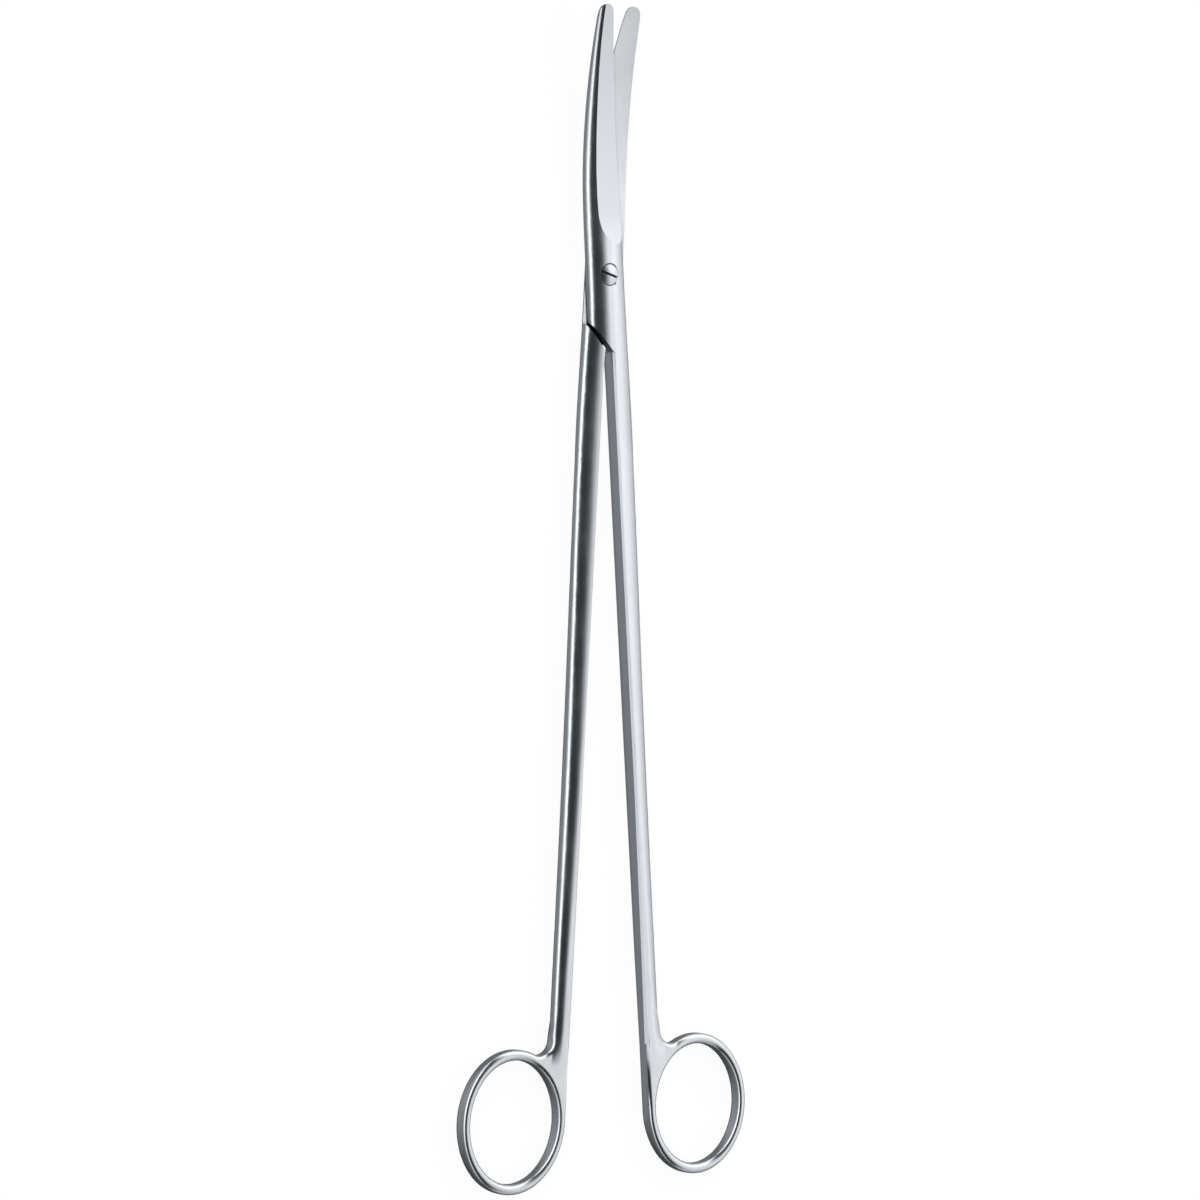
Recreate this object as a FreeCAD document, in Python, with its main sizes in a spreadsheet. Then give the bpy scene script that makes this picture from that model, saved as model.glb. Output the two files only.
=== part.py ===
"""Lobectomy scissors, 255 mm long, lying on their back with the tips toward +Y.

Two forged halves cross at a slotted pivot screw. Each half is one piece: a slim curved blade, a
lap of half the joint's depth, a long D-shaped shank and a finger ring. Both halves share one
outer form, which the lap, the inner walls and the curved meeting face divide between them.
"""
import FreeCAD, Part
import Sketcher
import math
import os

Vector = FreeCAD.Vector
Rotation = FreeCAD.Rotation
Placement = FreeCAD.Placement

os.makedirs("parts", exist_ok=True)
doc = FreeCAD.newDocument("lobectomy_scissors")


# Driving sizes, in millimetres and degrees, measured with the scissors shut.
# Places are distances from the pivot: toward the tip on the blade, toward the ring on the shank.
SIZES = [
    ("opening", 6.9),
    ("layer_depth", 2.1),
    ("running_gap", 0.06),
    ("joint_half_width", 5.1),
    ("joint_dome", 2.2),
    ("section_flat", 0.3),
    ("blade_length", 57.6),
    ("curve_start", 17.0),
    ("curve_radius", 148.0),
    ("root_place", 14.0),
    ("root_half_width", 4.98),
    ("root_dome", 2.18),
    ("belly_place", 28.0),
    ("belly_half_width", 4.4),
    ("belly_dome", 2.05),
    ("waist_place", 42.0),
    ("waist_half_width", 3.54),
    ("waist_dome", 1.72),
    ("tip_half_width", 2.35),
    ("tip_dome", 1.02),
    ("nose_radius", 2.0),
    ("nose_flare", 10.0),
    ("facet_slope", 13.0),
    ("facet_foot", 13.0),
    ("facet_run_out", 16.0),
    ("wheel_radius", 25.0),
    ("edge_thickness", 0.3),
    ("edge_root", 5.0),
    ("edge_middle_place", 38.0),
    ("edge_middle", 3.75),
    ("edge_tip", 1.45),
    ("lap_side_place", 9.1),
    ("lap_side_reach", 6.0),
    ("lap_inner_place", 16.6),
    ("lap_side_clearance", 0.58),
    ("lap_inner_clearance", 0.15),
    ("under_side_clearance", 1.1),
    ("under_inner_clearance", 0.35),
    ("under_lap_trim", 0.65),
    ("neck_place", 20.0),
    ("neck_half_width", 5.35),
    ("neck_dome", 1.98),
    ("shank_depth", 1.9),
    ("shank_top_place", 40.0),
    ("shank_top_half_width", 5.45),
    ("shank_middle_place", 75.0),
    ("shank_middle_half_width", 5.15),
    ("shank_middle_flat", 0.6),
    ("shank_low_place", 113.0),
    ("shank_low_half_width", 4.85),
    ("shank_low_flat", 1.1),
    ("shank_low_depth", 1.88),
    ("shank_end_half_width", 4.92),
    ("shank_end_flat", 2.4),
    ("shank_end_depth", 1.54),
    ("wall_gap_top", 0.1),
    ("wall_gap", 0.5),
    ("wall_chamfer", 0.4),
    ("wall_chamfer_end", 0.6),
    ("web_top_place", 148.0),
    ("web_top_width", 2.3),
    ("web_top_flat", 1.95),
    ("web_top_depth", 1.62),
    ("web_low_place", 164.0),
    ("shank_end_place", 167.0),
    ("ring_place", 182.0),
    ("ring_hole_half_width", 11.57),
    ("ring_hole_half_length", 13.17),
    ("ring_wire", 2.26),
    ("ring_depth", 1.58),
    ("ring_rounding", 1.0),
    ("crotch_radius", 3.3),
    ("screw_diameter", 2.5),
    ("screw_clearance", 0.05),
    ("head_diameter", 4.4),
    ("head_seat", 3.07),
    ("head_land", 0.12),
    ("head_crown", 0.28),
    ("slot_width", 0.55),
    ("slot_depth", 0.9),
    ("slot_turn", -13.0),
]

sheet = doc.addObject("Spreadsheet::Sheet", "sizes")
for row, (alias, number) in enumerate(SIZES, start=1):
    sheet.set("A" + str(row), alias.replace("_", " "))
    sheet.set("B" + str(row), str(number))
    sheet.setAlias("B" + str(row), alias)
doc.recompute()


def size(alias):
    """One driving size, for the first guess of a sketch that its constraints then hold."""
    return float(sheet.get(alias))


def rise(place):
    """Expression for how far the blades have curved up at a place along them."""
    run = "(" + place + " - sizes.curve_start)"
    return "(sizes.curve_radius - sqrt(sizes.curve_radius^2 - " + run + "^2))"


def rise_value(place):
    run = place - size("curve_start")
    return size("curve_radius") - math.sqrt(size("curve_radius") ** 2 - run ** 2)


def origin_plane(body, role):
    for feature in body.Origin.OriginFeatures:
        if feature.Role == role:
            return feature
    raise ValueError(role)


def new_sketch(body, name, role):
    sketch = body.newObject("Sketcher::SketchObject", name)
    sketch.AttachmentSupport = (origin_plane(body, role), [""])
    sketch.MapMode = "FlatFace"
    return sketch


def bind(sketch, index, name, expression):
    """Names a constraint and ties it to the sheet."""
    sketch.renameConstraint(index, name)
    sketch.setExpression("Constraints." + name, expression)


def hold_point(sketch, geometry, end, name, across, up):
    """Ties one point to the sheet: across and up are (value, expression) pairs."""
    for kind, axis, (value, expression) in (("DistanceX", "_x", across), ("DistanceY", "_y", up)):
        index = sketch.addConstraint(Sketcher.Constraint(kind, -1, 1, geometry, end, value))
        bind(sketch, index, name + axis, expression)


def polygon(sketch, points):
    """A closed outline with every corner tied to the sheet. Each point is
    (name, across, across expression, up, up expression)."""
    count = len(points)
    first = sketch.GeometryCount
    for number in range(count):
        here = points[number]
        there = points[(number + 1) % count]
        start = Vector(here[1], here[3], 0)
        end = Vector(there[1], there[3], 0)
        sketch.addGeometry(Part.LineSegment(start, end), False)
    for number in range(count):
        following = first + (number + 1) % count
        sketch.addConstraint(Sketcher.Constraint("Coincident", first + number, 2, following, 1))
    for number, (name, across, across_text, up, up_text) in enumerate(points):
        hold_point(sketch, first + number, 1, name, (across, across_text), (up, up_text))


def section(body, name, place, half_width, dome, flat):
    """One cross section of the shut pair: flat crest and belly joined by two half ellipses.
    place, half_width, dome and flat are (value, expression) pairs; place is along Y."""
    sketch = new_sketch(body, name, "XZ_Plane")
    sketch.AttachmentOffset = Placement(Vector(0, 0, -place[0]), Rotation())
    sketch.setExpression("AttachmentOffset.Base.z", "-(" + place[1] + ")")
    curved = place[0] > size("curve_start")
    middle = size("layer_depth") + (rise_value(place[0]) if curved else 0)
    middle_text = "sizes.layer_depth" + (" + " + rise(place[1]) if curved else "")
    bow = half_width[0] - flat[0]
    arcs = []
    for sign, start_angle in ((1, -math.pi / 2), (-1, math.pi / 2)):
        ellipse = Part.Ellipse(Vector(sign * flat[0], middle, 0), bow, dome[0])
        arc = Part.ArcOfEllipse(ellipse, start_angle, start_angle + math.pi)
        arcs.append((sketch.addGeometry(arc, False), sign))
    for arc, sign in arcs:
        before = sketch.GeometryCount
        sketch.exposeInternalGeometry(arc)
        major = before
        minor = before + 1
        label = "right" if sign > 0 else "left"
        sign_text = "" if sign > 0 else "-"
        hold_point(sketch, arc, 3, label, (sign * flat[0], sign_text + "(" + flat[1] + ")"),
                   (middle, middle_text))
        sketch.addConstraint(Sketcher.Constraint("Horizontal", major))
        long_axis = sketch.addConstraint(Sketcher.Constraint("Distance", major, 2 * bow))
        bind(sketch, long_axis, label + "_bow", "2 * (" + half_width[1] + " - " + flat[1] + ")")
        short_axis = sketch.addConstraint(Sketcher.Constraint("Distance", minor, 2 * dome[0]))
        bind(sketch, short_axis, label + "_dome", "2 * " + dome[1])
        for end in (1, 2):
            sketch.addConstraint(Sketcher.Constraint("Vertical", arc, end, arc, 3))
    right, left = arcs[0][0], arcs[1][0]
    crest = sketch.addGeometry(Part.LineSegment(Vector(flat[0], middle + dome[0], 0),
                                                Vector(-flat[0], middle + dome[0], 0)), False)
    belly = sketch.addGeometry(Part.LineSegment(Vector(-flat[0], middle - dome[0], 0),
                                                Vector(flat[0], middle - dome[0], 0)), False)
    for one, one_end, other, other_end in ((right, 2, crest, 1), (crest, 2, left, 1),
                                           (left, 2, belly, 1), (belly, 2, right, 1)):
        sketch.addConstraint(Sketcher.Constraint("Coincident", one, one_end, other, other_end))
    return sketch


def pair(alias, sign=1):
    """A size and its expression, for a section or a corner."""
    text = "sizes." + alias
    return (sign * size(alias), text if sign > 0 else "-" + text)


def loft(body, name, sections):
    feature = body.newObject("PartDesign::AdditiveLoft", name)
    feature.Profile = sections[0]
    feature.Sections = sections[1:]
    feature.Ruled = False
    feature.Refine = False
    return feature


def ellipse_sketch(body, name, turn, extra, extra_text):
    """The finger ring's oval in the plane of the scissors, grown by extra all round."""
    sketch = new_sketch(body, name, "XY_Plane")
    lay_flat(sketch, turn, "sizes.layer_depth", size("layer_depth"))
    half_length = size("ring_hole_half_length") + extra
    half_width = size("ring_hole_half_width") + extra
    across = size("wall_gap") + size("ring_wire") + size("ring_hole_half_width")
    place = -size("ring_place")
    top = Vector(across, place + half_length, 0)
    side = Vector(across - half_width, place, 0)
    oval = sketch.addGeometry(Part.Ellipse(top, side, Vector(across, place, 0)), False)
    before = sketch.GeometryCount
    sketch.exposeInternalGeometry(oval)
    hold_point(sketch, oval, 3, "centre",
               (across, "sizes.wall_gap + sizes.ring_wire + sizes.ring_hole_half_width"),
               (place, "-sizes.ring_place"))
    sketch.addConstraint(Sketcher.Constraint("Vertical", before))
    length = sketch.addConstraint(Sketcher.Constraint("Distance", before, 2 * half_length))
    bind(sketch, length, "oval_length", "2 * (sizes.ring_hole_half_length" + extra_text + ")")
    width = sketch.addConstraint(Sketcher.Constraint("Distance", before + 1, 2 * half_width))
    bind(sketch, width, "oval_width", "2 * (sizes.ring_hole_half_width" + extra_text + ")")
    return sketch


def lay_flat(sketch, turn, height_text, height):
    """Lays a sketch at a height in the plane of the scissors. The back half's sketches are
    turned half way round the long axis, so that one drawing serves both halves."""
    sketch.AttachmentOffset = Placement(Vector(0, 0, height), Rotation(Vector(0, 1, 0), turn))
    sketch.setExpression("AttachmentOffset.Base.z", height_text)


def pad_both_ways(body, name, profile, length_text):
    pad = body.newObject("PartDesign::Pad", name)
    pad.Profile = profile
    pad.Midplane = True
    pad.Refine = False
    pad.setExpression("Length", length_text)
    return pad


def cut_both_ways(body, name, profile, length):
    pocket = body.newObject("PartDesign::Pocket", name)
    pocket.Profile = profile
    pocket.Midplane = True
    pocket.Refine = False
    pocket.Length = length
    return pocket


def finger_ring(body, turn):
    """Finger ring with its flat web up to the shank, rounded all along its edges."""
    grown = size("ring_wire")
    disc = pad_both_ways(body, "ring_disc",
                         ellipse_sketch(body, "ring_outline", turn, grown, " + sizes.ring_wire"),
                         "2 * sizes.ring_depth")
    web_sketch = new_sketch(body, "web_outline", "XY_Plane")
    lay_flat(web_sketch, turn, "sizes.layer_depth", size("layer_depth"))
    gap = size("wall_gap")
    outside = size("shank_end_half_width")
    polygon(web_sketch, [
        ("top_wall", gap, "sizes.wall_gap", -size("web_top_place"), "-sizes.web_top_place"),
        ("low_wall", gap, "sizes.wall_gap", -size("ring_place"), "-sizes.ring_place"),
        ("low_side", outside, "sizes.shank_end_half_width",
         -size("ring_place"), "-sizes.ring_place"),
        ("shoulder", outside, "sizes.shank_end_half_width",
         -size("web_low_place"), "-sizes.web_low_place"),
        ("top_side", gap + size("web_top_width"), "sizes.wall_gap + sizes.web_top_width",
         -size("web_top_place"), "-sizes.web_top_place"),
    ])
    web = pad_both_ways(body, "web", web_sketch, "2 * sizes.ring_depth")
    doc.recompute()
    crotch = body.newObject("PartDesign::Fillet", "crotch")
    crotch.Base = (web, [crotch_edge(web.Shape, turn)])
    crotch.setExpression("Radius", "sizes.crotch_radius")
    hole = cut_both_ways(body, "finger_hole", ellipse_sketch(body, "hole_outline", turn, 0, ""), 30)
    doc.recompute()
    rounding = body.newObject("PartDesign::Fillet", "ring_rounding")
    rounding.Base = (hole, rim_edges(hole.Shape))
    rounding.setExpression("Radius", "sizes.ring_rounding")
    return disc


def crotch_edge(shape, turn):
    """The upright inside corner between the shank's outer side and the ring."""
    side = math.cos(math.radians(turn)) * size("shank_end_half_width")
    for number, edge in enumerate(shape.Edges, start=1):
        box = edge.BoundBox
        upright = box.XLength < 0.01 and box.YLength < 0.01
        on_side = abs(box.XMin - side) < 0.01
        between = -size("ring_place") < box.YMin < -size("web_low_place") - 1
        if upright and on_side and between:
            return "Edge" + str(number)
    raise ValueError("crotch edge")


def rim_edges(shape):
    """Every edge round the ring and its web on both flat sides, apart from the web's top end."""
    names = []
    for number, edge in enumerate(shape.Edges, start=1):
        box = edge.BoundBox
        flat_edge = box.ZLength < 0.001
        level = abs(box.ZMin - size("layer_depth"))
        on_face = abs(level - size("ring_depth")) < 0.001
        top_end = abs(box.YMin + size("web_top_place")) < 0.001 and box.YLength < 0.001
        if flat_edge and on_face and not top_end:
            names.append("Edge" + str(number))
    return names


def outer_form(body):
    """Blade, joint and shank as one smooth form, shared by both halves."""
    flat = pair("section_flat")
    blade_tip = section(body, "tip_section", pair("blade_length"), pair("tip_half_width"),
                        pair("tip_dome"), flat)
    waist = section(body, "waist_section", pair("waist_place"), pair("waist_half_width"),
                    pair("waist_dome"), flat)
    belly = section(body, "belly_section", pair("belly_place"), pair("belly_half_width"),
                    pair("belly_dome"), flat)
    root = section(body, "root_section", pair("root_place"), pair("root_half_width"),
                   pair("root_dome"), flat)
    joint = section(body, "joint_section", (0.0, "0 * sizes.blade_length"),
                    pair("joint_half_width"), pair("joint_dome"), flat)
    neck = section(body, "neck_section", pair("neck_place", -1), pair("neck_half_width"),
                   pair("neck_dome"), flat)
    top = section(body, "shank_top_section", pair("shank_top_place", -1),
                  pair("shank_top_half_width"), pair("shank_depth"), flat)
    middle = section(body, "shank_middle_section", pair("shank_middle_place", -1),
                     pair("shank_middle_half_width"), pair("shank_depth"),
                     pair("shank_middle_flat"))
    low = section(body, "shank_low_section", pair("shank_low_place", -1),
                  pair("shank_low_half_width"), pair("shank_low_depth"), pair("shank_low_flat"))
    above_web = section(body, "web_top_section", pair("web_top_place", -1),
                        pair("shank_end_half_width"), pair("web_top_depth"),
                        pair("web_top_flat"))
    end = section(body, "shank_end_section", pair("shank_end_place", -1),
                  pair("shank_end_half_width"), pair("shank_end_depth"), pair("shank_end_flat"))
    loft(body, "blade_and_joint", [blade_tip, waist, belly, root, joint, neck, top])
    loft(body, "shank", [top, middle, low, above_web, end])


def lap_walls(body, turn, sign):
    """Cuts away the other half's side: beyond the slanted end of the lap and past the flat
    inner wall of the shank. The lap underneath is a little shorter than the one on top."""
    sketch = new_sketch(body, "side_outline", "XY_Plane")
    lay_flat(sketch, turn, "sizes.layer_depth", size("layer_depth"))
    far = 20.0
    reach = size("lap_side_reach")
    trim = 0.0 if sign > 0 else size("under_lap_trim")
    trim_text = "" if sign > 0 else " + sizes.under_lap_trim"
    polygon(sketch, [
        ("side", -reach + trim, "-sizes.lap_side_reach" + trim_text,
         -size("lap_side_place"), "-sizes.lap_side_place"),
        ("corner", size("wall_gap_top"), "sizes.wall_gap_top",
         -size("lap_inner_place") + trim, "-sizes.lap_inner_place" + trim_text),
        ("wall_low", size("wall_gap"), "sizes.wall_gap",
         -size("shank_low_place"), "-sizes.shank_low_place"),
        ("wall_end", size("wall_gap"), "sizes.wall_gap",
         -size("shank_end_place") - 1, "-sizes.shank_end_place - 1"),
        ("far_end", -reach - far, "-sizes.lap_side_reach - 20",
         -size("shank_end_place") - 1, "-sizes.shank_end_place - 1"),
        ("far_side", -reach - far, "-sizes.lap_side_reach - 20",
         -size("lap_side_place"), "-sizes.lap_side_place"),
    ])
    return cut_both_ways(body, "inner_wall", sketch, 30)


def lap_layer(body, turn, sign):
    """Clears the other half's layer at the joint, down to the slanted shoulder. The shoulder
    stands off the other lap's end by more at the side than at the inner wall."""
    sketch = new_sketch(body, "layer_outline", "XY_Plane")
    sign_text = " + " if sign > 0 else " - "
    lay_flat(sketch, turn, "sizes.layer_depth" + sign_text + "sizes.running_gap / 2",
             size("layer_depth") + sign * size("running_gap") / 2)
    layer = "under" if sign > 0 else "lap"
    across = size("lap_side_reach") + size("wall_gap_top")
    down = size("lap_inner_place") - size("lap_side_place")
    slant = math.hypot(across, down)
    slant_text = ("sqrt((sizes.lap_side_reach + sizes.wall_gap_top)^2"
                  " + (sizes.lap_inner_place - sizes.lap_side_place)^2)")
    corners = []
    for name, start, place in (("side", size("lap_side_reach"), "lap_side_place"),
                               ("inner", -size("wall_gap_top"), "lap_inner_place")):
        gap = layer + "_" + name + "_clearance"
        start_text = "sizes.lap_side_reach" if name == "side" else "-sizes.wall_gap_top"
        right = start + size(gap) * down / slant
        right_text = (start_text + " + sizes." + gap
                      + " * (sizes.lap_inner_place - sizes.lap_side_place) / " + slant_text)
        lower = -size(place) - size(gap) * across / slant
        lower_text = ("-sizes." + place + " - sizes." + gap
                      + " * (sizes.lap_side_reach + sizes.wall_gap_top) / " + slant_text)
        corners.append((right, right_text, lower, lower_text))
    side, inner = corners
    far = size("lap_side_reach") + 14
    far_text = "sizes.lap_side_reach + 14"
    top, top_text = size("joint_half_width") - 2.1, "sizes.joint_half_width - 2.1"
    polygon(sketch, [
        ("shoulder_side",) + side,
        ("shoulder_inner",) + inner,
        ("inner_far", -far, "-(" + far_text + ")", inner[2], inner[3]),
        ("top_far", -far, "-(" + far_text + ")", top, top_text),
        ("top_side", far, far_text, top, top_text),
        ("side_far", far, far_text, side[2], side[3]),
    ])
    pocket = body.newObject("PartDesign::Pocket", "lap")
    pocket.Profile = sketch
    pocket.Refine = False
    pocket.Length = 30
    return pocket


def meeting_face(body, sign):
    """Turns the inner face of the blade about the pivot, so that the halves slide on it at
    every opening: flat round the joint, then rising along the curve of the blades."""
    sketch = new_sketch(body, "meeting_profile", "YZ_Plane")
    start = size("curve_start")
    end = size("blade_length") + 8
    radius = size("curve_radius")
    level = size("layer_depth") + sign * size("running_gap") / 2
    sign_text = " + " if sign > 0 else " - "
    level_text = "sizes.layer_depth" + sign_text + "sizes.running_gap / 2"
    far = -20.0 if sign > 0 else 60.0
    far_text = "-20 * sizes.layer_depth / 2.1" if sign > 0 else "60 * sizes.layer_depth / 2.1"
    top = level + rise_value(end)
    middle = (start + end) / 2
    flat = sketch.addGeometry(Part.LineSegment(Vector(0, level, 0), Vector(start, level, 0)), False)
    curve = sketch.addGeometry(Part.Arc(Vector(start, level, 0),
                                        Vector(middle, level + rise_value(middle), 0),
                                        Vector(end, top, 0)), False)
    side = sketch.addGeometry(Part.LineSegment(Vector(end, top, 0), Vector(end, far, 0)), False)
    base = sketch.addGeometry(Part.LineSegment(Vector(end, far, 0), Vector(0, far, 0)), False)
    axis = sketch.addGeometry(Part.LineSegment(Vector(0, far, 0), Vector(0, level, 0)), False)
    sketch.addConstraint(Sketcher.Constraint("Tangent", flat, 2, curve, 1))
    for one, one_end, other, other_end in ((curve, 2, side, 1), (side, 2, base, 1),
                                           (base, 2, axis, 1), (axis, 2, flat, 1)):
        sketch.addConstraint(Sketcher.Constraint("Coincident", one, one_end, other, other_end))
    hold_point(sketch, flat, 1, "level", (0.0, "0 * sizes.layer_depth"), (level, level_text))
    hold_point(sketch, flat, 2, "start", (start, "sizes.curve_start"), (level, level_text))
    bound = sketch.addConstraint(Sketcher.Constraint("Radius", curve, radius))
    bind(sketch, bound, "curve_radius", "sizes.curve_radius")
    reach = sketch.addConstraint(Sketcher.Constraint("DistanceX", -1, 1, curve, 2, end))
    bind(sketch, reach, "reach", "sizes.blade_length + 8")
    hold_point(sketch, base, 1, "far_end", (end, "sizes.blade_length + 8"), (far, far_text))
    hold_point(sketch, base, 2, "far_axis", (0.0, "0 * sizes.layer_depth"), (far, far_text))
    groove = body.newObject("PartDesign::Groove", "meeting_face")
    groove.Profile = sketch
    groove.ReferenceAxis = (sketch, ["V_Axis"])
    groove.Angle = 180
    groove.Midplane = True
    groove.Refine = False
    return groove


def grind_height(place_rise, place_rise_text, edge, sign):
    """Height of the ground facet over the rest plane, measured square to the facet's tilt."""
    slope = math.radians(size("facet_slope"))
    stack = size("edge_thickness") + size(edge) * math.tan(slope)
    value = (size("layer_depth") + place_rise + sign * stack) * math.cos(slope)
    sign_text = " + " if sign > 0 else " - "
    text = ("(sizes.layer_depth + " + place_rise_text + sign_text + "(sizes.edge_thickness + sizes."
            + edge + " * tan(sizes.facet_slope * 1 deg))) * cos(sizes.facet_slope * 1 deg)")
    return value, text


def ground_facet(body, sign):
    """Grinds the outer bevel of the blade: flat across, following the curve to the tip and
    running out over the grinding wheel's radius beside the screw."""
    sketch = new_sketch(body, "facet_profile", "YZ_Plane")
    sketch.AttachmentOffset = Placement(Vector(), Rotation(Vector(1, 0, 0), size("facet_slope")))
    sketch.setExpression("AttachmentOffset.Rotation.Angle", "sizes.facet_slope * 1 deg")
    root, middle, tip = size("facet_foot"), size("edge_middle_place"), size("blade_length")
    low = grind_height(0.0, "0 * sizes.layer_depth", "edge_root", sign)
    mid = grind_height(rise_value(middle), rise("sizes.edge_middle_place"), "edge_middle", sign)
    high = grind_height(rise_value(tip), rise("sizes.blade_length"), "edge_tip", sign)
    begin, halfway, point = Vector(root, low[0], 0), Vector(middle, mid[0], 0), Vector(tip, high[0], 0)
    blade_arc = Part.Arc(begin, halfway, point)
    blade_centre = blade_arc.toShape().Curve.Center
    outward = (begin - blade_centre).normalize()
    wheel = size("wheel_radius")
    wheel_centre = begin - outward * wheel * sign
    leave = root - size("facet_run_out")
    drop = math.sqrt(wheel ** 2 - (leave - wheel_centre.x) ** 2)
    away = Vector(leave, wheel_centre.y - sign * drop, 0)
    between = (root + leave) / 2
    sag = math.sqrt(wheel ** 2 - (between - wheel_centre.x) ** 2)
    run_out = Part.Arc(away, Vector(between, wheel_centre.y - sign * sag, 0), begin)
    ahead = (point - blade_centre).normalize()
    onward = Vector(-ahead.y, ahead.x, 0)
    past = size("root_half_width")
    beyond = point + onward * (past / onward.x)
    far = 20 * size("layer_depth") * sign
    far_text = ("" if sign > 0 else "-") + "20 * sizes.layer_depth"
    curve = sketch.addGeometry(blade_arc, False)
    wheel_arc = sketch.addGeometry(run_out, False)
    lines = []
    corners = [point, beyond, Vector(beyond.x, far, 0), Vector(leave, far, 0), away]
    for start, end in zip(corners, corners[1:]):
        lines.append(sketch.addGeometry(Part.LineSegment(start, end), False))
    # The wheel's arc turns the other way below the blade, which swaps its start and end.
    near, off = (2, 1) if sign > 0 else (1, 2)
    sketch.addConstraint(Sketcher.Constraint("Tangent", wheel_arc, near, curve, 1))
    sketch.addConstraint(Sketcher.Constraint("Tangent", curve, 2, lines[0], 1))
    for one, other in zip(lines, lines[1:]):
        sketch.addConstraint(Sketcher.Constraint("Coincident", one, 2, other, 1))
    sketch.addConstraint(Sketcher.Constraint("Coincident", lines[-1], 2, wheel_arc, off))
    for kind, line in (("Vertical", 1), ("Horizontal", 2), ("Vertical", 3)):
        sketch.addConstraint(Sketcher.Constraint(kind, lines[line]))
    for kind, line, end, name, value, text in (
            ("DistanceX", 0, 2, "beyond", tip + past, "sizes.blade_length + sizes.root_half_width"),
            ("DistanceX", 3, 2, "away", leave, "sizes.facet_foot - sizes.facet_run_out"),
            ("DistanceY", 2, 2, "far", far, far_text)):
        index = sketch.addConstraint(Sketcher.Constraint(kind, -1, 1, lines[line], end, value))
        bind(sketch, index, name, text)
    hold_point(sketch, curve, 1, "root", (root, "sizes.facet_foot"), low)
    hold_point(sketch, curve, 2, "tip", (tip, "sizes.blade_length"), high)
    station = sketch.addGeometry(Part.Point(halfway), True)
    hold_point(sketch, station, 1, "middle", (middle, "sizes.edge_middle_place"), mid)
    sketch.addConstraint(Sketcher.Constraint("PointOnObject", station, 1, curve))
    bound = sketch.addConstraint(Sketcher.Constraint("Radius", wheel_arc, wheel))
    bind(sketch, bound, "wheel_radius", "sizes.wheel_radius")
    pocket = cut_both_ways(body, "outer_facet", sketch, 40)
    return pocket


def straight_edge(body, turn):
    """Trims the cutting edge straight over the outer half of the blade."""
    sketch = new_sketch(body, "edge_outline", "XY_Plane")
    lay_flat(sketch, turn, "sizes.layer_depth", size("layer_depth"))
    run = size("blade_length") - size("edge_middle_place")
    slope = (size("edge_middle") - size("edge_tip")) / run
    slope_text = ("(sizes.edge_middle - sizes.edge_tip)"
                  " / (sizes.blade_length - sizes.edge_middle_place)")
    over = 12.0
    polygon(sketch, [
        ("low", size("edge_middle") + slope * over, "sizes.edge_middle + 12 * " + slope_text,
         size("edge_middle_place") - over, "sizes.edge_middle_place - 12"),
        ("high", size("edge_tip") - slope * over, "sizes.edge_tip - 12 * " + slope_text,
         size("blade_length") + over, "sizes.blade_length + 12"),
        ("high_far", 20.0, "sizes.edge_middle + 16.25",
         size("blade_length") + over, "sizes.blade_length + 12"),
        ("low_far", 20.0, "sizes.edge_middle + 16.25",
         size("edge_middle_place") - over, "sizes.edge_middle_place - 12"),
    ])
    return cut_both_ways(body, "cutting_edge", sketch, 60)


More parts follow.
